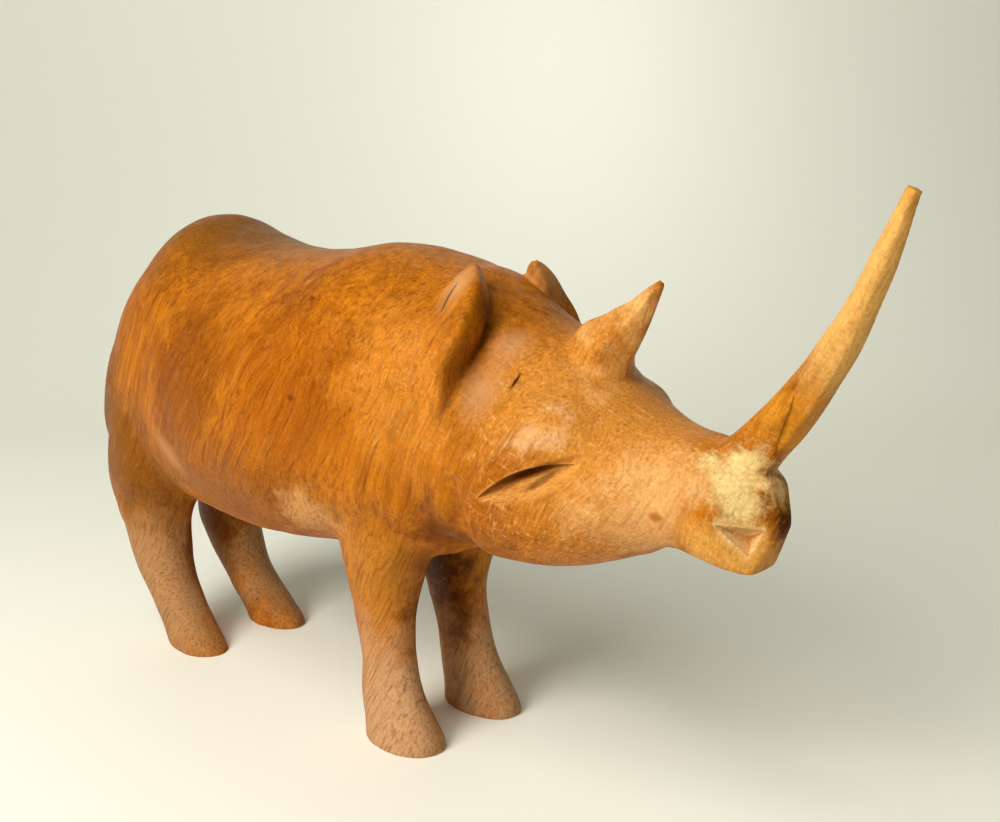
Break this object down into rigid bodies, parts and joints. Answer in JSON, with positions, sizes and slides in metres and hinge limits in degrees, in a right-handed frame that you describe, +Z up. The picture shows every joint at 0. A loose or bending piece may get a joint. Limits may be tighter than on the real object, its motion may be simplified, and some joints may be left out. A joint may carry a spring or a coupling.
{
  "type": "animal figurine",
  "caption": "Standing rhinoceros carved from one piece of wood, with a long upswept front horn, a short rear horn, leaf-shaped ears and slit eyes; stands on its feet as an ornament.",
  "frame": {"origin": "middle of the bottom of the figure's box, on the surface that it stands on", "axes": "+X is the way the animal faces, +Y is its left side, +Z is up"},
  "size_m": [0.3344, 0.095, 0.1855],
  "materials": {
    "wood": "satin"
  },
  "bodies": {
    "root": {"rhinoceros_figure": "wood"}
  },
  "joints": []
}
